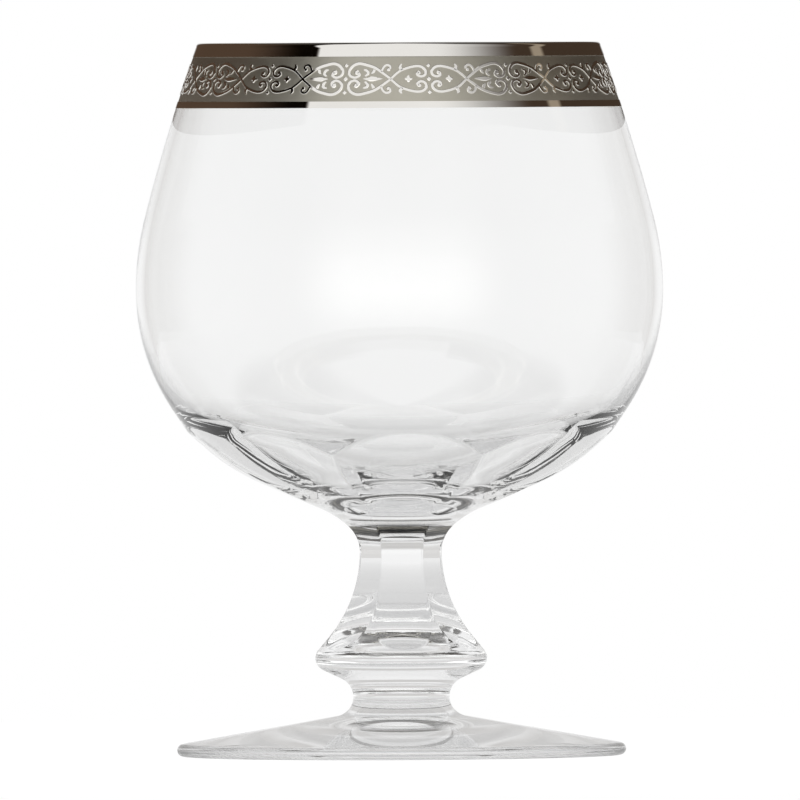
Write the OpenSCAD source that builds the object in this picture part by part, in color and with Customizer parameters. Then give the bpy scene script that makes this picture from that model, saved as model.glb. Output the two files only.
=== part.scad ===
// Brandy snifter: a blown bowl on a short cut stem and a round foot,
// with a platinum lip, an etched frieze and a platinum line round the mouth.
// Z is the axis of the glass, the foot rests on Z = 0 and the front panel faces -Y.

/* [Overall] */
// Height of the whole glass, from the table to the top of the rim
glass_h = 125; // [115:1:140]

/* [Bowl outside] */
// Outer diameter of the glass at the rim
rim_d = 70.8; // [64:0.2:80]
// Outer diameter of the belly, the widest place
belly_d = 92.4; // [86:0.2:100]
// Height of the belly above the table
belly_z = 81.6; // [78:0.2:86]
// Radius of the wall's curve just above the belly, as a share of one even curve from belly to rim
shoulder_share = 0.578; // [0.5:0.002:0.7]
// Radius of the flatter curve above that, as a share of the same even curve
upper_share = 3.67; // [2.5:0.01:5]
// Radius of the wall's curve below the belly
hip_r = 37.5; // [35:0.5:40]
// Lean of the conical hip below that curve
hip_lean = 34; // [32:0.5:36]
// Lean of the bowl's underside
keel_lean = 72; // [70:0.5:75]
// Radius of the hollow curve that brings the underside down to the stem
base_r = 17.4; // [15:0.2:20]

/* [Bowl inside] */
// Thickness of the wall at the rim
wall_rim = 1.25; // [0.9:0.05:1.8]
// Thickness of the wall at the belly
wall_belly = 1.7; // [1.3:0.05:2.4]
// Radius of the inside curve below the belly
cavity_r = 33; // [32:0.5:35]
// Lean of the inside wall where that curve slackens
cavity_lean = 65; // [62:0.5:67]
// Radius of the slacker inside curve down to the floor
bottom_r = 60; // [55:1:65]
// Lean of the inside wall where it turns into the domed floor
floor_lean = 80; // [78:0.5:84]

/* [Panels of the bowl] */
// Number of panels cut round the bowl's underside
panel_n = 8; // [6:1:12]
// Lean of a panel above its bend
panel_top_lean = 48; // [46:0.2:50]
// Lean of a panel below its bend
panel_low_lean = 66.2; // [65:0.2:68]
// Radius from the axis to a panel's bend
panel_bend_r = 30; // [29:0.2:31]
// Radius that rounds the bend
panel_round_r = 36; // [30:1:42]
// Distance from the axis of the glass back to the axis about which a panel is ground slightly round
panel_back = 56; // [40:1:80]
// Distance by which the middle of a panel's lower end stands clear of the hollow underside
panel_lift = 0.05; // [0.03:0.01:0.1]

/* [Stem] */
// Diameter of the stem's neck, its slimmest place
neck_d = 14.5; // [14:0.1:15]
// Height of the neck above the table
neck_z = 35.8; // [35:0.1:37]
// Radius of the hollow curve from the neck up to the bowl
collar_r = 6; // [5.7:0.1:6.3]
// Lean of the surface where stem and bowl are joined
collar_lean = 47.9; // [45:0.1:51]
// Radius of the long hollow curve from the neck down to the knop
flare_r = 23.5; // [22:0.5:25]
// Lean of the knop's shoulder
flare_lean = 40; // [37:0.5:43]
// Diameter of the knop
knop_d = 30.1; // [28.5:0.1:32]
// Radius of the knop's rounded edge
knop_edge_r = 2.3; // [1.8:0.1:2.8]
// Lean of the knop's underside
knop_under_lean = 65; // [62:0.5:68]
// Diameter of the waist under the knop
waist_d = 16.9; // [15:0.1:18]
// Radius of the hollow curve between the knop and the waist
waist_r = 3.5; // [3:0.1:4]

/* [Facets of the stem] */
// Number of facets cut round the stem
facet_n = 6; // [5:1:8]
// Depth of a facet at the middle of the neck
facet_depth = 0.97; // [0.7:0.01:1.1]
// Radius of a facet's curve above the neck
facet_top_r = 7.6; // [7.4:0.1:8]
// Radius of a facet's curve below the neck
facet_low_r = 20.4; // [20:0.1:20.6]

/* [Foot] */
// Diameter of the foot
foot_d = 78.7; // [74:0.1:84]
// Slope of the foot's top, from level
foot_slope = 10; // [9:0.1:10.6]
// Radius of the hollow curve from the waist down to the foot
instep_r = 3.4; // [3:0.1:3.8]
// Height of the joint between stem and foot
foot_joint_z = 7.6; // [7.2:0.1:8.2]

/* [Platinum] */
// Thickness of the platinum
skin_t = 0.06; // [0.04:0.01:0.1]
// Height of the polished lip band
lip_band_h = 2.45; // [1.8:0.05:3]
// Height of the etched frieze
frieze_h = 7.8; // [6:0.1:9]
// Height of the polished line under the frieze
line_h = 1.14; // [0.8:0.02:1.6]
// Depth to which the frieze is etched into the glass
etch_depth = 0.12; // [0.08:0.01:0.2]

/* [Hidden] */
$fn = 144;

// Unit directions in a half section, where X is the radius: an outward normal that rises or falls
function rising(lean) = [cos(lean), sin(lean)];
function falling(lean) = [cos(lean), -sin(lean)];

// Radius of the circle that leaves point p upright and passes through q
function even_r(p, q) = ((q - p) * (q - p)) / (2 * (p[0] - q[0]));

// Lean where a circle of radius near, about c, runs on into one of radius far that passes through q
function turn_lean(c, near, far, q) = direction(q - c) + corner(far - near, norm(q - c), far) - 180;

// Angle of a direction from level, and the angle between sides a and b of a triangle with third side c
function direction(v) = atan2(v[1], v[0]);
function corner(a, b, c) = acos((a * a + b * b - c * c) / (2 * a * b));

// Radius, at height z, of the right side of a circle
function right_of(c, r, z) = c[0] + sqrt(r * r - (z - c[1]) * (z - c[1]));

// Width of the strips and cutters, which is past everything
reach = belly_d;

// Step where two curves are joined, far too small to see, so that no thinner sliver is left there
seam = skin_t / 30;

// Mouth of the bowl
lip_r = wall_rim / 2;
lip_z = glass_h - skin_t - lip_r;
lip_c = [rim_d / 2 - lip_r, lip_z];

// Outside of the bowl, from the rim down to the hip
belly = [belly_d / 2, belly_z];
rim = [rim_d / 2, lip_z];
shoulder_r = shoulder_share * even_r(belly, rim);
upper_r = upper_share * even_r(belly, rim);
shoulder_c = belly - [shoulder_r, 0];
shoulder_lean = turn_lean(shoulder_c, shoulder_r, upper_r, rim);
shoulder = shoulder_c + shoulder_r * rising(shoulder_lean);
upper_c = shoulder - upper_r * rising(shoulder_lean);
hip_c = belly - [hip_r, 0];
hip = hip_c + hip_r * falling(hip_lean);

// Joint of bowl and stem, and the hollow underside that rises from it
neck = [neck_d / 2, neck_z];
collar_c = neck + [collar_r, 0];
collar = collar_c - collar_r * falling(collar_lean);
base_c = collar + base_r * falling(collar_lean);
base = base_c - base_r * falling(keel_lean);
keel_rise = (hip[0] - base[0] - (hip[1] - base[1]) * tan(hip_lean)) / (tan(keel_lean) - tan(hip_lean));
keel = base + keel_rise * [tan(keel_lean), 1];

// Inside of the bowl
inner_belly = belly - [wall_belly, 0];
inner_rim = rim - [wall_rim, 0];
inner_shoulder_r = shoulder_share * even_r(inner_belly, inner_rim);
inner_upper_r = upper_share * even_r(inner_belly, inner_rim);
inner_shoulder_c = inner_belly - [inner_shoulder_r, 0];
inner_lean = turn_lean(inner_shoulder_c, inner_shoulder_r, inner_upper_r, inner_rim);
inner_shoulder = inner_shoulder_c + inner_shoulder_r * rising(inner_lean);
inner_upper_c = inner_shoulder - inner_upper_r * rising(inner_lean);
cavity_c = inner_belly - [cavity_r, 0];
cavity_end = cavity_c + cavity_r * falling(cavity_lean);
bottom_c = cavity_end - bottom_r * falling(cavity_lean);
floor_edge = bottom_c + bottom_r * falling(floor_lean);
floor_r = floor_edge[0] / cos(floor_lean);
floor_c = floor_edge - floor_r * falling(floor_lean);

// One panel of the bowl: it leaves the hollow underside at a low angle and bends once
panel_foot = base_c - (base_r - panel_lift) * falling(panel_low_lean);
panel_bend = panel_foot + (panel_bend_r - panel_foot[0]) * [1, 1 / tan(panel_low_lean)];
panel_top = panel_bend + (hip[1] - panel_bend[1]) * [tan(panel_top_lean), 1];
bend_run = panel_round_r * tan((panel_low_lean - panel_top_lean) / 2);
bend_start = panel_bend - bend_run * [sin(panel_low_lean), cos(panel_low_lean)];
bend_end = panel_bend + bend_run * [sin(panel_top_lean), cos(panel_top_lean)];
bend_c = bend_start - panel_round_r * falling(panel_low_lean);

// Stem, from the neck down to the waist
flare_c = neck + [flare_r, 0];
flare = flare_c - flare_r * rising(flare_lean);
knop_c_r = knop_d / 2 - knop_edge_r;
shoulder_run = (knop_c_r + knop_edge_r * cos(flare_lean) - flare[0]) / sin(flare_lean);
knop_top = flare + shoulder_run * [sin(flare_lean), -cos(flare_lean)];
knop_c = knop_top - knop_edge_r * rising(flare_lean);
knop_low = knop_c + knop_edge_r * falling(knop_under_lean);
waist_turn_r = waist_d / 2 + waist_r * (1 - cos(knop_under_lean));
waist_turn = knop_low - (knop_low[0] - waist_turn_r) * [1, 1 / tan(knop_under_lean)];
waist = [waist_d / 2, waist_turn[1] - waist_r * sin(knop_under_lean)];

// One facet of the stem at the neck, where its two hollow curves meet
facet = neck - [facet_depth, 0];

// Foot: hollow instep, sloping top, and a round edge that rests on the table
instep_lean = 90 - foot_slope;
instep_c = waist + [instep_r, 0];
instep = instep_c - instep_r * rising(instep_lean);
edge_drop = instep[1] * cos(foot_slope) - (foot_d / 2 - instep[0]) * sin(foot_slope);
edge_r = edge_drop / (1 + cos(foot_slope) - sin(foot_slope));
edge_c = [foot_d / 2 - edge_r, edge_r];
edge_top = edge_c + edge_r * [sin(foot_slope), cos(foot_slope)];

// Heights of the platinum bands
frieze_top_z = glass_h - lip_band_h;
frieze_low_z = frieze_top_z - frieze_h;
line_low_z = frieze_low_z - line_h;
lip_skin_r = right_of(upper_c, upper_r + skin_t, lip_z) - lip_c[0];

// Level strip of the half section, from the axis out to a width
module strip(width, z0, z1) {
    polygon([[0, z0], [width, z0], [width, z1], [0, z1]]);
}

// What lies inside a circle, between two heights
module slice(c, r, z0, z1) {
    intersection() {
        translate(c) circle(r);
        strip(reach, z0, z1);
    }
}

// What lies between the axis and the right side of a circle, between two heights
module bulge(c, r, z0, z1) {
    slice(c, r, z0, z1);
    if (c[0] > 0) strip(c[0], z0, z1);
}

// What lies between the axis and a hollow curve, between two heights
module hollow(c, r, width, z0, z1) {
    difference() {
        strip(width - seam, z0, z1);
        translate(c) circle(r);
    }
}

// What lies between the axis and a straight slope from p up to q
module taper(p, q) {
    polygon([[0, p[1]], p, q, [0, q[1]]]);
}

// Thin layer between two circles about one centre, between two heights
module layer(c, r, t, z0, z1) {
    intersection() {
        difference() {
            translate(c) circle(r + t);
            translate(c) circle(r);
        }
        strip(reach, z0, z1);
    }
}

module bowl_blank() {
    bulge(upper_c, upper_r, shoulder[1], lip_z);
    bulge(shoulder_c, shoulder_r - 2 * seam, belly_z, shoulder[1]);
    bulge(hip_c, hip_r - seam, hip[1], belly_z);
    taper(keel, hip);
    taper(base, keel);
    hollow(base_c, base_r, base[0], collar[1], base[1]);
}

module bowl_cavity() {
    bulge(inner_upper_c, inner_upper_r, inner_shoulder[1], glass_h);
    bulge(inner_shoulder_c, inner_shoulder_r - 2 * seam, belly_z, inner_shoulder[1]);
    bulge(cavity_c, cavity_r - seam, cavity_end[1], belly_z);
    bulge(bottom_c, bottom_r + seam, floor_edge[1], cavity_end[1]);
    bulge(floor_c, floor_r, floor_c[1] - floor_r, floor_edge[1]);
}

module bowl_section() {
    difference() {
        bowl_blank();
        bowl_cavity();
        layer(upper_c, upper_r - etch_depth, etch_depth, frieze_low_z, frieze_top_z);
    }
    slice(lip_c, lip_r - seam, lip_z, glass_h);
}

// Outside of one panel, to be cut away
module panel_waste() {
    difference() {
        strip(reach, panel_foot[1], hip[1]);
        polygon([[0, panel_foot[1]], panel_foot, bend_start, bend_end, panel_top, [0, panel_top[1]]]);
        translate(bend_c) circle(panel_round_r + seam);
    }
}

// Outside of one facet of the stem, to be cut away
module facet_waste() {
    slice(facet + [facet_top_r, 0], facet_top_r, neck_z, collar[1]);
    slice(facet + [facet_low_r, 0], facet_low_r, waist[1], neck_z);
}

// Copies of a cut round the axis, the first at the front
module each_way(n) {
    for (i = [0 : n - 1])
        rotate(i * 360 / n - 90)
            children();
}

module stem_section() {
    hollow(collar_c, collar_r, collar[0] + seam, neck_z, collar[1]);
    hollow(flare_c, flare_r, flare[0] + seam, flare[1], neck_z);
    taper(knop_top, flare);
    taper(knop_low, [knop_c[0], knop_top[1]]);
    translate(knop_c) circle(knop_edge_r);
    taper(waist_turn, knop_low);
    hollow(waist + [waist_r, 0], waist_r, waist_turn[0], waist[1], waist_turn[1]);
    hollow(instep_c, instep_r, instep[0], foot_joint_z, waist[1]);
}

module foot_section() {
    hollow(instep_c, instep_r, instep[0], instep[1], foot_joint_z);
    taper(edge_top - [seam, 0], instep);
    strip(edge_c[0], 0, edge_top[1]);
    translate(edge_c) circle(edge_r);
}

module bowl() {
    color([0.90, 0.94, 0.95, 0.45])
        difference() {
            rotate_extrude() bowl_section();
            each_way(panel_n)
                translate([-panel_back, 0, 0])
                    rotate_extrude() translate([panel_back, 0]) panel_waste();
        }
}

module stem() {
    color([0.86, 0.91, 0.93, 0.5])
        difference() {
            rotate_extrude() stem_section();
            each_way(facet_n)
                rotate([90, 0, 0])
                    linear_extrude(reach, center = true) facet_waste();
        }
}

module foot() {
    color([0.88, 0.92, 0.94, 0.5])
        rotate_extrude() foot_section();
}

module lip_band() {
    color("silver")
        rotate_extrude() {
            layer(upper_c, upper_r, skin_t, frieze_top_z, lip_z);
            layer(lip_c, lip_r - seam, lip_skin_r - lip_r, lip_z, glass_h + skin_t);
        }
}

module frieze_band() {
    color("gray")
        rotate_extrude() layer(upper_c, upper_r - etch_depth, skin_t, frieze_low_z, frieze_top_z);
}

module lower_line() {
    color("silver")
        rotate_extrude() layer(upper_c, upper_r, skin_t, line_low_z, frieze_low_z);
}

bowl();
stem();
foot();
lip_band();
frieze_band();
lower_line();
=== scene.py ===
"""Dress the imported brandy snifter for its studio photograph.

The CAD frame gives the place and size of every piece. This script puts a fine
mesh and a finish on each of them, and the camera, floor and light round it.
"""

import logging
import math
from collections.abc import Callable, Iterable, Sequence
from dataclasses import dataclass, field
from enum import Enum

import bpy
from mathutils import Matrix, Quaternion, Vector


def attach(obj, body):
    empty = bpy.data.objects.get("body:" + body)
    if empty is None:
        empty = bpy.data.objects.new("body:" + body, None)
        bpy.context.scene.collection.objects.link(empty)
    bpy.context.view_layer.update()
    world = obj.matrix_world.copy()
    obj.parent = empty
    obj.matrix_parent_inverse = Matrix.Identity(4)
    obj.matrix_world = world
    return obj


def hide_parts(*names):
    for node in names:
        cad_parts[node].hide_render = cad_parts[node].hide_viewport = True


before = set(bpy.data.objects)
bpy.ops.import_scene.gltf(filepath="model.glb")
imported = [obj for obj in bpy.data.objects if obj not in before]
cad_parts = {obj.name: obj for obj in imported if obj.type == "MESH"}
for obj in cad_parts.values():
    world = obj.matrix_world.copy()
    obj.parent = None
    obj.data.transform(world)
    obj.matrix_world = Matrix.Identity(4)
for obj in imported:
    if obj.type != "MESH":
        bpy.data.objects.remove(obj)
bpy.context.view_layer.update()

LOG = logging.getLogger("snifter")
MM = 0.001
COLUMNS = 384
EVEN_TURN = [360.0 * i / COLUMNS for i in range(COLUMNS)]
FINE_ZONE = 0.7
HALVINGS = 48
ROOT = "root"

Point = tuple[float, float]
Triple = tuple[float, float, float]
Face = tuple[int, ...]
Socket = bpy.types.NodeSocket


class Slot(Enum):
    """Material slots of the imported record."""

    BOWL = "bowl_glass"
    STEM = "stem_glass"
    FOOT = "foot_glass"
    POLISHED = "polished_platinum"
    ETCHED = "etched_platinum"


def rising(lean: float) -> Point:
    """Outward normal, in a half section, of a face that leans in at the top."""
    return math.cos(math.radians(lean)), math.sin(math.radians(lean))


def falling(lean: float) -> Point:
    """Outward normal, in a half section, of a face that leans out at the top."""
    return rising(-lean)


def moved(point: Point, way: Point, run: float) -> Point:
    """Point reached from another one by a run along a direction."""
    return point[0] + run * way[0], point[1] + run * way[1]


def root_of(func: Callable[[float], float], low: float, high: float) -> float:
    """Zero of a function between two places where its signs differ.

    Args:
        func: Function of one value.
        low: Lower end of the search.
        high: Upper end of the search.

    Returns:
        The place of the zero.
    """
    sign = func(low) > 0
    for _ in range(HALVINGS):
        mid = (low + high) / 2
        if (func(mid) > 0) == sign:
            low = mid
        else:
            high = mid
    return (low + high) / 2


def softened(one: float, other: float, soft: float) -> float:
    """Smaller of two radii, rounded where they meet."""
    share = max(soft - abs(one - other), 0.0) / soft
    return min(one, other) - share * share * soft / 4


def chain(*parts: Sequence[Point]) -> list[Point]:
    """Join lists of points, leaving out each point that repeats the one before.

    Args:
        parts: Lists of points, in order.

    Returns:
        One list.
    """
    joined: list[Point] = []
    for part in parts:
        for point in part:
            if not joined or math.dist(point, joined[-1]) > 1e-6:
                joined.append(point)
    return joined


def graded(stops: Sequence[float], counts: Sequence[int]) -> list[float]:
    """Heights from stop to stop, each stretch in its own number of steps, the last stop left out.

    Args:
        stops: Heights to go through, in order.
        counts: Steps from each stop to the next.

    Returns:
        The heights.
    """
    heights: list[float] = []
    for start, end, count in zip(stops, stops[1:], counts):
        heights += [start + (end - start) * i / count for i in range(count)]
    return heights


@dataclass(frozen=True)
class Line:
    """Straight run of a half section, from one point down or up to another."""

    start: Point
    end: Point

    @property
    def span(self) -> Point:
        """Lowest and highest z of the run."""
        return min(self.start[1], self.end[1]), max(self.start[1], self.end[1])

    def radius_at(self, z: float) -> float:
        """Radius of the run at a height."""
        share = (z - self.start[1]) / (self.end[1] - self.start[1])
        return self.start[0] + share * (self.end[0] - self.start[0])

    def points(self, count: int) -> list[Point]:
        """Points along the run, ends included."""
        way = (self.end[0] - self.start[0], self.end[1] - self.start[1])
        return [moved(self.start, way, i / count) for i in range(count + 1)]


@dataclass(frozen=True)
class Arc:
    """Round run of a half section, between two angles about a centre."""

    centre: Point
    radius: float
    start: float
    end: float

    def at(self, angle: float) -> Point:
        """Point of the circle at an angle in degrees."""
        return moved(self.centre, rising(angle), self.radius)

    @property
    def span(self) -> Point:
        """Lowest and highest z of the run."""
        a, b = self.at(self.start)[1], self.at(self.end)[1]
        return min(a, b), max(a, b)

    def radius_at(self, z: float) -> float:
        """Radius, from the glass's axis, of the run at a height.

        Args:
            z: The height.

        Returns:
            The radius.
        """
        middle = rising((self.start + self.end) / 2)[0]
        half = math.sqrt(max(self.radius**2 - (z - self.centre[1]) ** 2, 0.0))
        return self.centre[0] + math.copysign(half, middle)

    def points(self, count: int) -> list[Point]:
        """Points along the run, ends included."""
        step = (self.end - self.start) / count
        return [self.at(self.start + step * i) for i in range(count + 1)]


Run = Line | Arc


@dataclass(frozen=True)
class Outline:
    """Chain of runs that gives one radius for every height."""

    runs: tuple[Run, ...]

    def radius_at(self, z: float) -> float:
        """Radius of the chain at a height, with its end runs carried on.

        Args:
            z: The height.

        Returns:
            The radius.
        """
        for run in self.runs:
            low, high = run.span
            if low <= z <= high:
                return run.radius_at(z)
        ends = sorted(self.runs, key=lambda run: run.span[0])
        return (ends[0] if z < ends[0].span[0] else ends[-1]).radius_at(z)


@dataclass(frozen=True)
class Cuts:
    """Equal cuts round the axis of a blank, the first at the front."""

    count: int
    face: Outline
    blank: Outline
    edge_soft: float
    even: int
    back: float | None = None
    fine: int = 8
    fine_turn: float = 1.5

    @property
    def half(self) -> float:
        """Degrees from the middle of a cut to its edge."""
        return 180.0 / self.count

    def angles(self) -> list[float]:
        """Degrees of the mesh's columns, close together along the edges.

        Returns:
            Degrees round from the front, in order.
        """
        last = self.half - self.fine_turn
        side = [last * i / self.even for i in range(self.even)]
        side += [last + self.fine_turn * i / self.fine for i in range(self.fine)]
        one = side + [2 * self.half - a for a in [self.half, *side[:0:-1]]]
        return [k * 2 * self.half + a for k in range(self.count) for a in one]

    def turn(self, angle: float) -> float:
        """Degrees from a direction to the middle of its cut.

        Args:
            angle: Degrees round from the front.

        Returns:
            The degrees, to either side.
        """
        step = 2 * self.half
        off = angle % step
        return off if off <= self.half else step - off

    def reach(self, flat: float, turn: float) -> float:
        """Radius of one cut, some degrees off its middle.

        Args:
            flat: Distance from the axis to the middle of the cut.
            turn: Degrees from that middle.

        Returns:
            The radius, for a cut that is flat across or, with back set, round
            about an axis that far behind the glass's own.
        """
        off = math.radians(turn)
        if self.back is None:
            return flat / math.cos(off)
        whole = flat + self.back
        side = self.back * math.sin(off)
        return math.sqrt(whole * whole - side * side) - self.back * math.cos(off)

    def radius_at(self, z: float, angle: float) -> float:
        """Radius of the cuts, their edges rounded, at a height in a direction."""
        flat, turn = self.face.radius_at(z), self.turn(angle)
        return softened(self.reach(flat, turn), self.reach(flat, 2 * self.half - turn), self.edge_soft)

    def depth(self, z: float, angle: float) -> float:
        """How far the blank stands out past the cuts."""
        return self.blank.radius_at(z) - self.radius_at(z, angle)

    def meets(self, angle: float, low: float, high: float) -> float:
        """Height, between two others, where a cut runs out on the blank."""
        return root_of(lambda z: self.depth(z, angle), low, high)

    def left(self, z: float, angle: float, soft: float) -> float:
        """Radius that is left of the blank, rounded where a cut runs out."""
        return softened(self.blank.radius_at(z), self.radius_at(z, angle), soft)


def stand(name: str, verts: Sequence[Triple], faces: Sequence[Face]) -> bpy.types.Object:
    """Make a mesh object, put it in the scene and report it.

    Args:
        name: Name of the object and its mesh.
        verts: Places of the vertices, in metres.
        faces: Vertex indices, face by face.

    Returns:
        The object.
    """
    mesh = bpy.data.meshes.new(name)
    mesh.from_pydata(verts, [], faces)
    mesh.update()
    thing = bpy.data.objects.new(name, mesh)
    bpy.context.scene.collection.objects.link(thing)
    LOG.info("%s: %d faces", name, len(faces))
    return thing


@dataclass(frozen=True)
class Skin:
    """Closed mesh round the axis, one column of points for each step of the turn."""

    columns: list[list[Point]]
    angles: list[float]
    creases: set[int]
    joints: set[int] = field(default_factory=set)
    loop: bool = False

    def build(self, name: str) -> bpy.types.Object:
        """Make the mesh object.

        Args:
            name: Name of the object.

        Returns:
            The object, smooth, with its creases marked sharp.
        """
        rows, wide = len(self.columns[0]), len(self.columns)
        poles = set() if self.loop else {0, rows - 1}
        verts: list[Triple] = []
        first: list[int] = []
        for i in range(rows):
            first.append(len(verts))
            for j in range(1 if i in poles else wide):
                angle = math.radians(self.angles[j] - 90.0)
                r, z = self.columns[j][i]
                r = 0.0 if i in poles else r
                verts.append((r * math.cos(angle) * MM, r * math.sin(angle) * MM, z * MM))

        def vert(i: int, j: int) -> int:
            """Index of the vertex of a row and a column."""
            return first[i] + (0 if i in poles else j % wide)

        faces: list[Face] = []
        marks: list[int] = []
        for i in range(rows if self.loop else rows - 1):
            k = (i + 1) % rows
            for j in range(wide):
                ring = (vert(i, j), vert(k, j), vert(k, j + 1), vert(i, j + 1))
                faces.append(tuple(dict.fromkeys(ring)))
                marks.append(1 if i in self.joints else 0)
        sharp = {frozenset((vert(i, j), vert(i, j + 1))) for i in self.creases for j in range(wide)}
        thing = stand(name, verts, faces)
        thing.data.polygons.foreach_set("material_index", marks)
        thing.data.shade_smooth()
        for edge in thing.data.edges:
            if frozenset(edge.vertices) in sharp:
                edge.use_edge_sharp = True
        thing.data.update()
        return thing


class Graph:
    """Short way to add and link nodes in a node tree."""

    def __init__(self, tree: bpy.types.NodeTree) -> None:
        """Keep the tree that the nodes go in."""
        self.tree = tree

    def add(
        self, kind: str, inputs: dict[str | int, object] | None = None, **settings: object
    ) -> bpy.types.Node:
        """Add a node.

        Args:
            kind: Type of the node.
            inputs: Numbers, colours or sockets for the node's inputs.
            settings: Properties of the node, set before its inputs.

        Returns:
            The node.
        """
        node = self.tree.nodes.new(kind)
        for key, value in settings.items():
            setattr(node, key, value)
        for key, value in (inputs or {}).items():
            if isinstance(value, Socket):
                self.tree.links.new(value, node.inputs[key])
            else:
                node.inputs[key].default_value = value
        return node

    def math(self, operation: str, *values: object) -> Socket:
        """Output of a math node that is fed numbers or sockets in order."""
        return self.add("ShaderNodeMath", dict(enumerate(values)), operation=operation).outputs[0]

    def spread(self, value: Socket, inputs: dict[str, object], kind: str = "LINEAR") -> Socket:
        """Output of a map range node over a value."""
        node = self.add("ShaderNodeMapRange", {"Value": value, **inputs}, interpolation_type=kind)
        return node.outputs["Result"]

    def blend(self, share: Socket | float, first: Socket, second: Socket) -> Socket:
        """Output of a shader that goes from one shader to another."""
        return self.add("ShaderNodeMixShader", {0: share, 1: first, 2: second}).outputs[0]

    def surface(self, shader: Socket, kind: str = "ShaderNodeOutputMaterial") -> None:
        """Make a shader the surface of the material or the world."""
        self.add(kind, {"Surface": shader})


def fresh_material(name: str) -> tuple[bpy.types.Material, Graph]:
    """New material, and the graph of its empty node tree.

    Args:
        name: Name of the material.

    Returns:
        The material and its graph.
    """
    material = bpy.data.materials.new(name)
    material.use_nodes = True
    material.node_tree.nodes.clear()
    return material, Graph(material.node_tree)


def fresh_group(
    name: str, inputs: dict[str, str], outputs: dict[str, str]
) -> tuple[Graph, dict[str, Socket]]:
    """Start a node group with its sockets.

    Args:
        name: Name of the group.
        inputs: Kinds of the inputs by name.
        outputs: Kinds of the outputs by name.

    Returns:
        The group's graph, and the sockets that its inputs come in by.
    """
    tree = bpy.data.node_groups.new(name, "ShaderNodeTree")
    for way, sockets in (("INPUT", inputs), ("OUTPUT", outputs)):
        for socket, kind in sockets.items():
            tree.interface.new_socket(socket, in_out=way, socket_type=f"NodeSocket{kind}")
    graph = Graph(tree)
    source = graph.add("NodeGroupInput")
    return graph, {socket: source.outputs[socket] for socket in inputs}


class Effects:
    """Node groups that more than one finish uses."""

    even: Triple = (1.0, 1.0, 1.0)
    drawn_up: Triple = (1.0, 1.0, 0.4)
    wiped_up: Triple = (1.0, 1.0, 0.3)
    tone_range: Point = (0.35, 0.65)
    mark_range: Point = (0.22, 0.42)
    wipe_scale: float = 14.0

    def __init__(self) -> None:
        """Make each group once."""
        self.wave = self.noise_group("uneven surface", self.drawn_up, 1.0)
        self.grain = self.noise_group("fine grain", self.even, 3.0)
        self.drift = self.drift_group()
        self.marks = self.marks_group()

    @staticmethod
    def noise(graph: Graph, scale: Socket, stretch: Triple, detail: float) -> Socket:
        """Add a noise that keeps its place on the piece.

        Args:
            graph: Graph to add the nodes to.
            scale: Scale of the noise.
            stretch: Factors along the three axes.
            detail: Layers of finer noise.

        Returns:
            The noise.
        """
        place = graph.add("ShaderNodeTexCoord").outputs["Object"]
        stretched = graph.add("ShaderNodeVectorMath", {0: place, 1: stretch}, operation="MULTIPLY")
        inputs = {"Detail": detail, "Vector": stretched.outputs[0], "Scale": scale}
        return graph.add("ShaderNodeTexNoise", inputs).outputs["Fac"]

    def noise_group(self, name: str, stretch: Triple, detail: float) -> bpy.types.NodeTree:
        """Group that gives a height, for a bump.

        Args:
            name: Name of the group.
            stretch: Factors along the three axes.
            detail: Layers of finer noise.

        Returns:
            The group.
        """
        graph, source = fresh_group(name, {"Scale": "Float"}, {"Height": "Float"})
        graph.add("NodeGroupOutput", {"Height": self.noise(graph, source["Scale"], stretch, detail)})
        return graph.tree

    def drift_group(self) -> bpy.types.NodeTree:
        """Group that lets a colour drift between two tones.

        Returns:
            The group.
        """
        sockets = {"Scale": "Float", "Pale": "Color", "Deep": "Color"}
        graph, source = fresh_group("tone drift", sockets, {"Color": "Color"})
        noise = self.noise(graph, source["Scale"], self.even, 2.0)
        low, high = self.tone_range
        share = graph.spread(noise, {"From Min": low, "From Max": high})
        inputs = {"Factor": share, "A": source["Pale"], "B": source["Deep"]}
        mix = graph.add("ShaderNodeMix", inputs, data_type="RGBA")
        graph.add("NodeGroupOutput", {"Color": mix.outputs["Result"]})
        return graph.tree

    def marks_group(self) -> bpy.types.NodeTree:
        """Group that makes a surface less smooth where it was handled.

        Returns:
            The group.
        """
        sockets = dict.fromkeys(("Scale", "Clean", "Marked"), "Float")
        graph, source = fresh_group("handling marks", sockets, {"Roughness": "Float"})
        patches = self.noise(graph, source["Scale"], self.even, 1.0)
        fine = graph.math("MULTIPLY", source["Scale"], self.wipe_scale)
        wipes = self.noise(graph, fine, self.wiped_up, 2.0)
        low, high = self.mark_range
        inputs = {"From Min": low, "From Max": high, "To Min": source["Clean"], "To Max": source["Marked"]}
        rough = graph.spread(graph.math("MULTIPLY", patches, wipes), inputs, "SMOOTHSTEP")
        graph.add("NodeGroupOutput", {"Roughness": rough})
        return graph.tree


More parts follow.
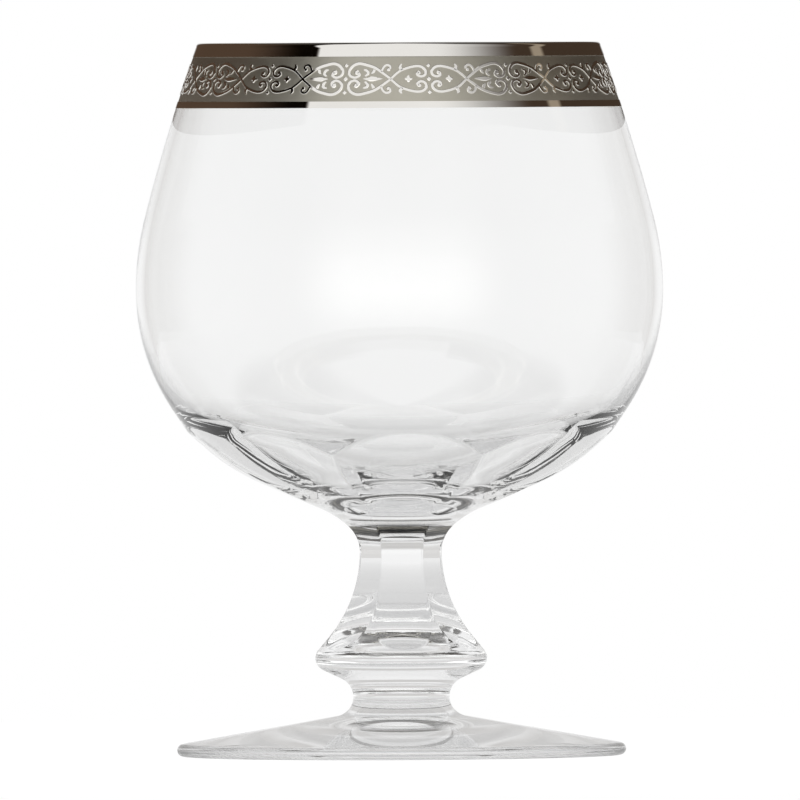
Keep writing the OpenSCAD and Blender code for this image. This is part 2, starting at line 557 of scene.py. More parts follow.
@dataclass(frozen=True)
class Finish:
    """What every finish has: two tones, handling marks and an uneven surface."""

    name: str
    pale: Triple
    deep: Triple
    clean: float
    marked: float
    wave_scale: float
    wave_depth: float
    tone_scale: float = 55.0
    mark_scale: float = 40.0

    def shader(self, graph: Graph, effects: Effects, under: Socket | None = None) -> bpy.types.Node:
        """Add a Principled shader that the effects feed.

        Args:
            graph: Graph of the material.
            effects: The shared groups.
            under: Normal of a finer bump under the uneven surface, if there is one.

        Returns:
            The shader.
        """
        tones = {"Scale": self.tone_scale, "Pale": (*self.pale, 1.0), "Deep": (*self.deep, 1.0)}
        drift = graph.add("ShaderNodeGroup", tones, node_tree=effects.drift)
        touch = {"Scale": self.mark_scale, "Clean": self.clean, "Marked": self.marked}
        marks = graph.add("ShaderNodeGroup", touch, node_tree=effects.marks)
        return graph.add("ShaderNodeBsdfPrincipled", {
            "Base Color": drift.outputs["Color"],
            "Roughness": marks.outputs["Roughness"],
            "Normal": self.bump(graph, effects.wave, self.wave_scale, self.wave_depth, under),
        })

    @staticmethod
    def bump(
        graph: Graph, group: bpy.types.NodeTree, scale: float, depth: float, under: Socket | None = None
    ) -> Socket:
        """Normal of a bump whose height comes from a group.

        Args:
            graph: Graph to add the nodes to.
            group: Group that gives the height.
            scale: Scale of its noise.
            depth: Depth of the bump, in millimetres.
            under: Normal of a finer bump, if there is one.

        Returns:
            The normal.
        """
        height = graph.add("ShaderNodeGroup", {"Scale": scale}, node_tree=group).outputs["Height"]
        finer = {} if under is None else {"Normal": under}
        inputs = {"Distance": depth * MM, "Height": height, **finer}
        return graph.add("ShaderNodeBump", inputs).outputs["Normal"]


@dataclass(frozen=True)
class Crystal(Finish):
    """Clear polished crystal, a little uneven from the making."""

    clean: float = 0.0
    marked: float = 0.02
    wave_scale: float = 60.0
    wave_depth: float = 0.01
    ior: float = 1.54
    sheen: float = 0.5
    shadow_tint: Triple = (0.96, 0.965, 0.965)

    def build(self, effects: Effects) -> bpy.types.Material:
        """Make the material, which casts a clear shadow.

        Args:
            effects: The shared node groups.

        Returns:
            The material.
        """
        material, graph = fresh_material(self.name)
        glass = self.shader(graph, effects)
        glass.inputs["Metallic"].default_value = 0.0
        glass.inputs["IOR"].default_value = self.ior
        glass.inputs["Transmission Weight"].default_value = 1.0
        glass.inputs["Specular IOR Level"].default_value = self.sheen
        clear = graph.add("ShaderNodeBsdfTransparent", {"Color": (*self.shadow_tint, 1.0)})
        shadow = graph.add("ShaderNodeLightPath").outputs["Is Shadow Ray"]
        graph.surface(graph.blend(shadow, glass.outputs[0], clear.outputs[0]))
        return material


@dataclass(frozen=True)
class FusedJoint:
    """Face where two pieces of glass were joined hot, so that light passes it."""

    name: str = "fused joint"

    def build(self) -> bpy.types.Material:
        """Make the material.

        Returns:
            The material.
        """
        material, graph = fresh_material(self.name)
        graph.surface(graph.add("ShaderNodeBsdfTransparent").outputs[0])
        return material


@dataclass(frozen=True)
class Platinum(Finish):
    """Fired platinum, polished or, with a deeper grain, matt."""

    grain_scale: float = 900.0
    grain_depth: float = 0.0004

    def build(self, effects: Effects) -> bpy.types.Material:
        """Make the material.

        Args:
            effects: The shared node groups.

        Returns:
            The material.
        """
        material, graph = fresh_material(self.name)
        grain = self.bump(graph, effects.grain, self.grain_scale, self.grain_depth)
        metal = self.shader(graph, effects, grain)
        metal.inputs["Metallic"].default_value = 1.0
        graph.surface(metal.outputs[0])
        return material


def place(
    thing: bpy.types.Object, materials: Iterable[bpy.types.Material], slot: Slot, node: str | None = None
) -> None:
    """Dress a piece, give it its body and hide the CAD node it stands for.

    Args:
        thing: The piece.
        materials: Its materials, in the order of their indices.
        slot: Not used.
        node: The CAD node, if it stands for one.
    """
    for material in materials:
        thing.data.materials.append(material)
    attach(thing, ROOT)
    if node:
        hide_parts(node)


@dataclass(frozen=True)
class Stem:
    """Short stem with its collar, facets, knop and waist, in millimetres and degrees."""

    neck_r: float = 7.25
    neck_z: float = 35.8
    collar_r: float = 6.0
    collar_lean: float = 47.9
    flare_r: float = 23.5
    flare_lean: float = 40.0
    knop_r: float = 15.05
    knop_edge_r: float = 2.3
    knop_under_lean: float = 65.0
    waist_w: float = 8.45
    waist_r: float = 3.5
    instep_r: float = 3.4
    foot_joint_z: float = 7.6
    facets: int = 6
    facet_depth: float = 0.97
    facet_top_r: float = 6.6
    facet_top_lean: float = 70.0
    facet_low_r: float = 26.2
    facet_toe_lean: float = 20.0
    facet_toe_r: float = 15.8
    facet_end_lean: float = 88.0
    facet_edge: float = 0.2
    facet_soft: float = 0.12
    facet_steps: int = 19
    toe_high_z: float = 27.0
    toe_reach: float = 0.6
    facet_rows: tuple[int, ...] = (64, 20, 24)
    low_rows: tuple[int, ...] = (12, 3, 12, 8)
    crystal: Crystal = Crystal(
        "stem crystal", (0.950, 0.951, 0.952), (0.940, 0.942, 0.943), wave_depth=0.004
    )

    @property
    def collar_c(self) -> Point:
        """Centre of the collar's hollow."""
        return self.neck_r + self.collar_r, self.neck_z

    @property
    def collar(self) -> Point:
        """Point where the collar ends and the bowl begins."""
        return moved(self.collar_c, falling(self.collar_lean), -self.collar_r)

    def runs(self) -> tuple[Run, ...]:
        """Runs of the uncut stem, from the bowl down to the foot's joint.

        Returns:
            The runs, in order.
        """
        lean, under = rising(self.flare_lean), math.radians(self.knop_under_lean)
        flare_c = (self.neck_r + self.flare_r, self.neck_z)
        flare = moved(flare_c, lean, -self.flare_r)
        edge_r = self.knop_edge_r
        run = (self.knop_r - edge_r + edge_r * lean[0] - flare[0]) / lean[1]
        knop_top = moved(flare, (lean[1], -lean[0]), run)
        knop_c = moved(knop_top, lean, -edge_r)
        knop_low = moved(knop_c, falling(self.knop_under_lean), edge_r)
        turn_r = self.waist_w + self.waist_r * (1 - math.cos(under))
        turn = (turn_r, knop_low[1] - (knop_low[0] - turn_r) / math.tan(under))
        waist_z = turn[1] - self.waist_r * math.sin(under)
        waist_c, instep_c = ((self.waist_w + r, waist_z) for r in (self.waist_r, self.instep_r))
        joint = 180.0 + math.degrees(math.asin((waist_z - self.foot_joint_z) / self.instep_r))
        return (
            Arc(self.collar_c, self.collar_r, 180.0 - self.collar_lean, 180.0),
            Arc(flare_c, self.flare_r, 180.0, 180.0 + self.flare_lean),
            Line(flare, knop_top),
            Arc(knop_c, edge_r, self.flare_lean, -self.knop_under_lean),
            Line(knop_low, turn),
            Arc(waist_c, self.waist_r, 180.0 - self.knop_under_lean, 180.0),
            Arc(instep_c, self.instep_r, 180.0, joint),
        )

    def cuts(self) -> Cuts:
        """The facets, on the stem down to the knop.

        Returns:
            The cuts.
        """
        face_r = self.neck_r - self.facet_depth
        top_c, low_c = ((face_r + r, self.neck_z) for r in (self.facet_top_r, self.facet_low_r))
        toe = moved(low_c, rising(self.facet_toe_lean), -self.facet_low_r)
        toe_c = moved(toe, rising(self.facet_toe_lean), self.facet_toe_r)
        bend = 180.0 + self.facet_toe_lean
        face = Outline((
            Arc(top_c, self.facet_top_r, 180.0, 180.0 - self.facet_top_lean),
            Arc(low_c, self.facet_low_r, 180.0, bend),
            Arc(toe_c, self.facet_toe_r, bend, 180.0 + self.facet_end_lean),
        ))
        return Cuts(self.facets, face, Outline(self.runs()[:4]), self.facet_edge, self.facet_steps)

    def make(self, effects: Effects, joint: bpy.types.Material) -> None:
        """Build the stem with its facets and dress it.

        Args:
            effects: The shared node groups.
            joint: Material of the faces that meet the bowl and the foot.
        """
        runs, cuts, top_z = self.runs(), self.cuts(), self.collar[1]
        knop_z = sum(runs[3].span) / 2
        low = chain(*(run.points(count) for run, count in zip(runs[3:], self.low_rows)))
        fixed = [point for point in low if point[1] < knop_z]
        columns = []
        for angle in cuts.angles():
            toe_z = cuts.meets(angle, runs[2].span[0] - self.toe_reach, self.toe_high_z)
            heights = graded((top_z, toe_z + FINE_ZONE, toe_z - FINE_ZONE, knop_z), self.facet_rows)
            faceted = [(cuts.left(z, angle, self.facet_soft), z) for z in heights]
            columns.append([(0.0, top_z), *faceted, *fixed, (0.0, self.foot_joint_z)])
        last = len(columns[0]) - 2
        thing = Skin(columns, cuts.angles(), {1, last}, {0, last}).build("stem_crystal")
        place(thing, (self.crystal.build(effects), joint), Slot.STEM, "stem")


@dataclass(frozen=True)
class Foot:
    """Round foot under the stem, in millimetres and degrees."""

    stem: Stem
    foot_r: float = 39.35
    slope: float = 10.0
    rows: tuple[int, ...] = (12, 24, 20)
    crystal: Crystal = Crystal(
        "foot crystal", (0.915, 0.916, 0.919), (0.900, 0.902, 0.905), wave_depth=0.006
    )

    def runs(self) -> tuple[Run, ...]:
        """Runs of the foot, from its joint down to the table.

        Returns:
            The runs, in order.
        """
        joint = self.stem.runs()[-1]
        lean = 90.0 - self.slope
        instep = moved(joint.centre, rising(lean), -joint.radius)
        flat, steep = rising(self.slope)
        drop = instep[1] * flat - (self.foot_r - instep[0]) * steep
        edge_r = drop / (1 + flat - steep)
        edge_c = (self.foot_r - edge_r, edge_r)
        return (
            Arc(joint.centre, joint.radius, joint.end, 180.0 + lean),
            Line(instep, moved(edge_c, (steep, flat), edge_r)),
            Arc(edge_c, edge_r, lean, -90.0),
        )

    def make(self, effects: Effects, joint: bpy.types.Material) -> None:
        """Build the foot and dress it.

        Args:
            effects: The shared node groups.
            joint: Material of the face that meets the stem.
        """
        edge = chain(*(run.points(count) for run, count in zip(self.runs(), self.rows)))
        column = [(0.0, edge[0][1]), *edge, (0.0, edge[-1][1])]
        thing = Skin([column] * COLUMNS, EVEN_TURN, {1}, {0}).build("foot_crystal")
        place(thing, (self.crystal.build(effects), joint), Slot.FOOT, "foot")


@dataclass(frozen=True)
class Wall:
    """Two curves that run on into each other, from the belly up to the rim."""

    low: Arc
    high: Arc

    @classmethod
    def between(cls, belly: Point, rim: Point, low_share: float, high_share: float) -> "Wall":
        """Find the two curves.

        Args:
            belly: Point where the wall stands upright.
            rim: Point where it ends.
            low_share: Radius of the lower curve, as a share of one even curve.
            high_share: Radius of the upper curve, as a share of the same.

        Returns:
            The wall.
        """
        even = math.dist(belly, rim) ** 2 / (2 * (belly[0] - rim[0]))
        low_r, high_r = low_share * even, high_share * even
        low_c = (belly[0] - low_r, belly[1])
        far, gap = math.dist(rim, low_c), high_r - low_r
        corner = math.degrees(math.acos((gap**2 + far**2 - high_r**2) / (2 * gap * far)))
        lean = math.degrees(math.atan2(rim[1] - low_c[1], rim[0] - low_c[0])) + corner - 180.0
        high_c = moved(low_c, rising(lean), -gap)
        end = math.degrees(math.asin((rim[1] - high_c[1]) / high_r))
        return cls(Arc(low_c, low_r, 0.0, lean), Arc(high_c, high_r, lean, end))

    def layer(self, low_z: float, high_z: float, out: float = 0.0) -> Arc:
        """Run of the upper curve between two heights, set out from the wall.

        Args:
            low_z: Height where the layer begins.
            high_z: Height where it ends.
            out: How far it stands out from the wall.

        Returns:
            The run.
        """
        radius = self.high.radius + out
        angles = (math.degrees(math.asin((z - self.high.centre[1]) / radius)) for z in (low_z, high_z))
        return Arc(self.high.centre, radius, *angles)


@dataclass(frozen=True)
class Bowl:
    """Blown bowl with its panels and the etched ground, in millimetres and degrees."""

    stem: Stem
    glass_h: float = 125.0
    rim_r: float = 35.4
    belly_r: float = 46.2
    belly_z: float = 81.6
    shoulder_share: float = 0.578
    upper_share: float = 3.67
    hip_r: float = 37.5
    hip_lean: float = 34.0
    keel_lean: float = 72.0
    base_r: float = 17.4
    wall_rim: float = 1.25
    wall_belly: float = 1.7
    cavity_r: float = 33.0
    cavity_lean: float = 65.0
    bottom_r: float = 60.0
    floor_lean: float = 80.0
    panels: int = 8
    panel_top_lean: float = 48.0
    panel_low_lean: float = 66.2
    panel_bend_r: float = 30.0
    panel_round_r: float = 36.0
    panel_back: float = 56.0
    panel_lift: float = 0.05
    panel_run: float = 30.0
    panel_edge: float = 0.25
    panel_soft: float = 0.2
    panel_steps: int = 21
    skin_t: float = 0.06
    lip_band_h: float = 2.45
    frieze_h: float = 7.8
    line_h: float = 1.14
    etch_depth: float = 0.12
    inside_rows: tuple[int, ...] = (24, 24, 48, 16, 20, 12)
    rim_rows: int = 4
    etch_rows: int = 6
    wall_rows: int = 16
    hip_rows: int = 40
    panel_rows: tuple[int, ...] = (8, 24, 60, 20, 16)
    crystal: Crystal = Crystal(
        "bowl crystal", (0.987, 0.9885, 0.9875), (0.984, 0.986, 0.985), sheen=0.2
    )

    @property
    def lip(self) -> Arc:
        """Half round of the lip, from the inner to the outer face."""
        radius = self.wall_rim / 2
        return Arc((self.rim_r - radius, self.glass_h - self.skin_t - radius), radius, 180.0, 0.0)

    @property
    def frieze_top_z(self) -> float:
        """Height of the frieze's upper edge."""
        return self.glass_h - self.lip_band_h

    @property
    def frieze_low_z(self) -> float:
        """Height of the frieze's lower edge."""
        return self.frieze_top_z - self.frieze_h

    def wall(self, belly_in: float = 0.0, rim_in: float = 0.0) -> Wall:
        """Outer wall, or one set in from it at the belly and at the rim."""
        belly, rim = (self.belly_r - belly_in, self.belly_z), (self.rim_r - rim_in, self.lip.centre[1])
        return Wall.between(belly, rim, self.shoulder_share, self.upper_share)

    def inside(self) -> list[Point]:
        """Half section of the cavity, from its middle up and over the lip.

        Returns:
            The points, in order.
        """
        cavity_c = (self.belly_r - self.wall_belly - self.cavity_r, self.belly_z)
        end = moved(cavity_c, falling(self.cavity_lean), self.cavity_r)
        bottom_c = moved(end, falling(self.cavity_lean), -self.bottom_r)
        edge = moved(bottom_c, falling(self.floor_lean), self.bottom_r)
        floor_r = edge[0] / math.cos(math.radians(self.floor_lean))
        floor_c = moved(edge, falling(self.floor_lean), -floor_r)
        wall = self.wall(self.wall_belly, self.wall_rim)
        runs = (
            Arc(floor_c, floor_r, -90.0, -self.floor_lean),
            Arc(bottom_c, self.bottom_r, -self.floor_lean, -self.cavity_lean),
            Arc(cavity_c, self.cavity_r, -self.cavity_lean, 0.0),
            wall.low,
            wall.high,
            self.lip,
        )
        return chain(*(run.points(count) for run, count in zip(runs, self.inside_rows)))

    def base_c(self) -> Point:
        """Centre of the hollow that carries the collar on under the bowl."""
        return moved(self.stem.collar, falling(self.stem.collar_lean), self.base_r)

    def blank(self) -> Outline:
        """Half section of the uncut underside, from the collar up to the belly.

        Returns:
            The outline.
        """
        hip_c = (self.belly_r - self.hip_r, self.belly_z)
        hip = moved(hip_c, falling(self.hip_lean), self.hip_r)
        base_c = self.base_c()
        base = moved(base_c, falling(self.keel_lean), -self.base_r)
        tan_k, tan_h = (math.tan(math.radians(lean)) for lean in (self.keel_lean, self.hip_lean))
        rise = (hip[0] - base[0] - (hip[1] - base[1]) * tan_h) / (tan_k - tan_h)
        keel = (base[0] + rise * tan_k, base[1] + rise)
        return Outline((
            Arc(base_c, self.base_r, 180.0 - self.stem.collar_lean, 180.0 - self.keel_lean),
            Line(base, keel),
            Line(keel, hip),
            Arc(hip_c, self.hip_r, -self.hip_lean, 0.0),
        ))

    def cuts(self) -> Cuts:
        """The panels: a low and a steep face with a rounded bend between them.

        Returns:
            The cuts.
        """
        low, top, round_r = self.panel_low_lean, self.panel_top_lean, self.panel_round_r
        foot = moved(self.base_c(), falling(low), self.panel_lift - self.base_r)
        rise = (self.panel_bend_r - foot[0]) / math.tan(math.radians(low))
        bend = (self.panel_bend_r, foot[1] + rise)
        run = round_r * math.tan(math.radians((low - top) / 2))
        low_way, top_way = (rising(lean)[::-1] for lean in (low, top))
        start, end = moved(bend, low_way, -run), moved(bend, top_way, run)
        face = Outline((
            Line(foot, start),
            Arc(moved(start, falling(low), -round_r), round_r, -low, -top),
            Line(end, moved(end, top_way, self.panel_run)),
        ))
        return Cuts(self.panels, face, self.blank(), self.panel_edge, self.panel_steps, self.panel_back)

    def make(self, effects: Effects, joint: bpy.types.Material) -> None:
        """Build the bowl with its panels and dress it.

        Args:
            effects: The shared node groups.
            joint: Material of the face that meets the stem.
        """
        wall, inside, cuts = self.wall(), self.inside(), self.cuts()
        top, low = self.frieze_top_z, self.frieze_low_z
        rim = wall.layer(self.lip.centre[1], top).points(self.rim_rows)
        etched = wall.layer(top, low, -self.etch_depth).points(self.etch_rows)
        upper = wall.layer(low, wall.low.span[1]).points(self.wall_rows)
        keel_to_hip, hip = cuts.blank.runs[2:]
        belly = [*wall.low.points(self.wall_rows)[::-1], *hip.points(self.hip_rows)[::-1]]
        fixed = chain(inside, rim, etched, upper, belly)[:-1]
        ledges = (len(chain(inside, rim)), len(chain(inside, rim, etched)))
        low_z, high_z = keel_to_hip.span
        foot_z, facets = cuts.face.runs[0].start[1], self.stem.cuts()
        collar = self.stem.collar
        columns = []
        for angle in cuts.angles():
            arch = cuts.meets(angle, low_z, high_z)
            toe = foot_z if cuts.depth(foot_z, angle) > -1e-9 else cuts.meets(angle, foot_z, low_z)
            stops = [high_z, *(z + side for z in (arch, toe) for side in (FINE_ZONE, -FINE_ZONE)), collar[1]]
            under = [
                (cuts.left(z, angle, self.panel_soft) if z > foot_z else cuts.blank.radius_at(z), z)
                for z in graded(stops, self.panel_rows)
            ]
            ledge = (facets.radius_at(collar[1], angle), collar[1])
            columns.append([*fixed, *under, collar, ledge, (0.0, collar[1])])
        last = len(columns[0]) - 2
        creases = {row - side for row in (*ledges, last) for side in (0, 1)}
        thing = Skin(columns, cuts.angles(), creases, {last}).build("bowl_crystal")
        place(thing, (self.crystal.build(effects), joint), Slot.BOWL, "bowl")


@dataclass(frozen=True)
class Stroke:
    """Raised line of the ornament, with its half widths, in units of the pattern."""

    points: tuple[Point, ...]
    halves: tuple[float, ...]

    def spine(self, fine: int = 6) -> list[Triple]:
        """Points along a smooth curve through the given ones, with half widths.

        Args:
            fine: Steps from one given point to the next.

        Returns:
            Places u, v and half widths.
        """
        knots = [(*point, half) for point, half in zip(self.points, self.halves)]
        ends = [knots[0], *knots, knots[-1]]
        path = []
        for quad in zip(ends, ends[1:], ends[2:], ends[3:]):
            for i in range(fine):
                path.append(tuple(self.between(*values, i / fine) for values in zip(*quad)))
        return [*path, knots[-1]]

    @staticmethod
    def between(a: float, b: float, c: float, d: float, s: float) -> float:
        """Value a share of the way from b to c, on a smooth curve through all four."""
        square, cube = 2 * a - 5 * b + 4 * c - d, 3 * b - a - 3 * c + d
        return 0.5 * (2 * b + (c - a) * s + square * s**2 + cube * s**3)


@dataclass(frozen=True)
class Bead:
    """Raised dot or diamond of the ornament, in units of the pattern."""

    centre: Point
    half_u: float
    half_v: float
    waist: float = 1.0

    def edge(self, share: float, count: int = 24) -> list[Point]:
        """Points round a share of the bead, drawn in between the corners by the waist.

        Args:
            share: Share of the bead's size.
            count: Number of points.

        Returns:
            The points, in order.
        """
        ring = []
        for i in range(count):
            angle = 2 * math.pi * i / count
            pull = share * (1 - (1 - self.waist) * math.sin(2 * angle) ** 2)
            way = (self.half_u * math.cos(angle), self.half_v * math.sin(angle))
            ring.append(moved(self.centre, way, pull))
        return ring


@dataclass(frozen=True)
class Motif:
    """Part of the ornament that mirrors four ways about its middle."""

    middle: float
    strokes: tuple[Stroke, ...]
    beads: tuple[Bead, ...]


NARROW = Motif(
    5.9,
    (
        Stroke(
            ((38.4, 0.0), (30.0, 7.7), (21.7, 11.4), (12.6, 13.4), (6.4, 12.2), (3.0, 8.0), (4.4, 3.9),
             (8.4, 2.6), (11.6, 4.6), (10.6, 7.0)),
            (1.35, 1.45, 1.5, 1.55, 1.6, 1.6, 1.5, 1.5, 1.6, 1.7),
        ),
        Stroke(((27.0, 9.0), (28.4, 11.2), (28.6, 13.2), (27.2, 15.6)), (1.9, 1.9, 1.7, 0.6)),
    ),
    (
        Bead((10.0, 6.6), 2.2, 2.2),
        Bead((20.6, 0.0), 4.3, 4.0, 0.6),
        Bead((0.0, 0.0), 2.6, 2.6, 0.75),
        Bead((0.0, 14.0), 2.3, 2.3, 0.75),
    ),
)
WIDE = Motif(
    28.4,
    (
        Stroke(
            ((45.6, 0.0), (39.7, 4.7), (30.3, 11.4), (20.9, 14.8), (12.8, 16.2), (6.4, 13.3), (3.2, 7.7),
             (5.1, 3.2), (10.0, 1.6), (13.8, 4.2), (12.2, 7.0)),
            (1.35, 1.5, 1.65, 1.75, 1.75, 1.7, 1.6, 1.5, 1.5, 1.7, 1.9),
        ),
        Stroke(
            ((36.0, 7.2), (38.2, 12.2), (41.5, 14.6), (44.8, 13.4), (45.0, 10.4)),
            (1.3, 1.3, 1.35, 1.4, 1.5),
        ),
        Stroke(((18.3, 9.6), (21.6, 8.6), (22.6, 5.6), (19.8, 2.9)), (0.8, 1.6, 1.7, 0.9)),
        Stroke(((29.0, 9.8), (28.0, 7.4), (26.2, 5.4)), (1.7, 1.6, 0.7)),
        Stroke(((18.2, 0.0), (21.5, 0.0), (25.0, 0.0), (30.0, 0.0), (37.6, 0.0)), (0.5, 1.4, 2.7, 2.3, 0.3)),
    ),
    (
        Bead((11.4, 6.9), 2.7, 2.7),
        Bead((43.4, 9.8), 2.0, 2.0),
        Bead((0.0, 0.0), 2.6, 2.6, 0.75),
        Bead((0.0, 14.2), 2.3, 2.3, 0.75),
    ),
)


def mirrored(spot: Point) -> list[Point]:
    """Signs that copy a piece to each side of the axes that it stands clear of."""
    sides, ups = ((1.0, -1.0) if value else (1.0,) for value in spot)
    return [(side, up) for side in sides for up in ups]


@dataclass(frozen=True)
class Scrollwork:
    """Raised ornament laid on the frieze."""

    wall: Wall
    ground: float
    top: float
    middle_z: float
    unit: float = 0.175
    repeats: int = 8
    motifs: tuple[Motif, ...] = (NARROW, WIDE)
    round_shares: tuple[Point, ...] = ((1.0, 0.0), (0.93, 0.7), (0.7, 1.0))
    verts: list[Triple] = field(default_factory=list)
    faces: list[Face] = field(default_factory=list)

    def spot(self, turn: float, u: float, v: float, rise: float) -> int:
        """Add a vertex.

        Args:
            turn: Degrees round from the front to the motif's middle.
            u: Place along the frieze, in units.
            v: Place up the frieze, in units.
            rise: Share of the height from the ground to the top.

        Returns:
            The vertex's index.
        """
        run = self.wall.layer(self.middle_z, self.middle_z + v * self.unit)
        lean = run.start + math.degrees(v * self.unit / run.radius)
        r, z = moved(run.centre, rising(lean), run.radius + self.ground + rise * (self.top - self.ground))
        around = math.radians(turn - 90.0) + u * self.unit / run.at(run.start)[0]
        self.verts.append((r * math.cos(around) * MM, r * math.sin(around) * MM, z * MM))
        return len(self.verts) - 1

    def wrap(self, rings: list[list[int]], back: bool) -> None:
        """Add the faces from ring to ring and over both ends.

        Args:
            rings: Vertex indices, ring by ring.
            back: Turn every face over.
        """
        count = len(rings[0])
        faces = [tuple(rings[0][::-1]), tuple(rings[-1])]
        for one, other in zip(rings, rings[1:]):
            for a in range(count):
                b = (a + 1) % count
                faces.append((one[a], one[b], other[b], other[a]))
        self.faces.extend(face[::-1] if back else face for face in faces)

    def line(self, turn: float, stroke: Stroke, flip: Point) -> None:
        """Add one raised line, mirrored by the signs in flip.

        Args:
            turn: Degrees round from the front to the motif's middle.
            stroke: The line.
            flip: Signs for the two ways along and up the frieze.
        """
        spine = stroke.spine()
        profile = [(-side, rise) for side, rise in self.round_shares] + [*self.round_shares[::-1]]
        rings = []
        for i, (u, v, half) in enumerate(spine):
            before, after = spine[max(i - 1, 0)], spine[min(i + 1, len(spine) - 1)]
            du, dv = after[0] - before[0], after[1] - before[1]
            size = math.hypot(du, dv) or 1.0
            ring = []
            for side, rise in profile:
                place_u, place_v = moved((u, v), (-dv / size, du / size), side * half)
                ring.append(self.spot(turn, flip[0] * place_u, flip[1] * place_v, rise))
            rings.append(ring)
        self.wrap(rings, flip[0] * flip[1] > 0)

    def dot(self, turn: float, bead: Bead, flip: Point) -> None:
        """Add one raised dot, mirrored by the signs in flip.

        Args:
            turn: Degrees round from the front to the motif's middle.
            bead: The dot.
            flip: Signs for the two ways along and up the frieze.
        """
        rings = [
            [self.spot(turn, flip[0] * u, flip[1] * v, rise) for u, v in bead.edge(share)]
            for share, rise in self.round_shares
        ]
        self.wrap(rings, flip[0] * flip[1] < 0)

    def build(self, name: str) -> bpy.types.Object:
        """Make the mesh object.

        Args:
            name: Name of the object.

        Returns:
            The object.
        """
        for motif in self.motifs:
            for i in range(self.repeats):
                turn = motif.middle + 360.0 * i / self.repeats
                for stroke in motif.strokes:
                    for flip in mirrored(stroke.points[-1]):
                        self.line(turn, stroke, flip)
                for bead in motif.beads:
                    for flip in mirrored(bead.centre):
                        self.dot(turn, bead, flip)
        return stand(name, self.verts, self.faces)


@dataclass(frozen=True)
class Bands:
    """Three platinum bands round the mouth, and the scrolls on the middle one."""

    bowl: Bowl
    bite: float = 0.01
    rows: int = 8
    lip_rows: int = 16
    bright: Platinum = Platinum(
        "bright platinum", (0.87, 0.85, 0.81), (0.84, 0.82, 0.78), 0.03, 0.09, 90.0, 0.012
    )
    matt: Platinum = Platinum(
        "matt platinum", (0.45, 0.43, 0.37), (0.41, 0.39, 0.33), 0.42, 0.5, 90.0, 0.01,
        grain_scale=4200.0, grain_depth=0.02,
    )

    def layer(self, low_z: float, high_z: float, out: float) -> tuple[list[Point], list[Point]]:
        """Front and back of a layer on the upper wall, up one and down the other.

        Args:
            low_z: Height where the layer begins.
            high_z: Height where it ends.
            out: How far it stands out from the wall.

        Returns:
            The points of each.
        """
        wall, deep = self.bowl.wall(), out - self.bowl.skin_t - self.bite
        front = wall.layer(low_z, high_z, out).points(self.rows)
        return front, wall.layer(high_z, low_z, deep).points(self.rows)

    def lip(self) -> list[Point]:
        """Section of the band that wraps the lip.

        Returns:
            The points, in order.
        """
        lip, skin_t = self.bowl.lip, self.bowl.skin_t
        front, back = self.layer(self.bowl.frieze_top_z, lip.centre[1], skin_t)
        over = Arc(lip.centre, lip.radius + skin_t, 0.0, 180.0).points(self.lip_rows)
        under = Arc(lip.centre, lip.radius - self.bite, 180.0, 0.0).points(self.lip_rows)
        return chain(front[:-1], over, under, back[1:])

    def make(self, effects: Effects) -> None:
        """Build the bands and the scrolls and dress them.

        Args:
            effects: The shared node groups.
        """
        bowl, bright, matt = self.bowl, self.bright.build(effects), self.matt.build(effects)
        top_z, low_z, sunk = bowl.frieze_top_z, bowl.frieze_low_z, bowl.skin_t - bowl.etch_depth
        frieze = sum(self.layer(low_z, top_z, sunk), [])
        line = sum(self.layer(low_z - bowl.line_h, low_z, bowl.skin_t), [])
        for node, section, material, slot in (
            ("lip_band", self.lip(), bright, Slot.POLISHED),
            ("frieze_band", frieze, matt, Slot.ETCHED),
            ("lower_line", line, bright, Slot.POLISHED),
        ):
            half, last = len(section) // 2, len(section) - 1
            skin = Skin([section[::-1]] * COLUMNS, EVEN_TURN, {0, half - 1, half, last}, loop=True)
            place(skin.build(f"{node}_platinum"), (material,), slot, node)
        scrolls = Scrollwork(bowl.wall(), sunk - self.bite, bowl.skin_t, (top_z + low_z) / 2)
        place(scrolls.build("frieze_scrolls"), (bright,), Slot.POLISHED)


@dataclass(frozen=True)
class Card:
    """Patch of the studio, in degrees round from the camera and above level."""

    left: float
    right: float
    low: float
    high: float
    colour: Triple
    soft: float = 3.0
    soft_left: float = 8.0
    soft_right: float = 8.0


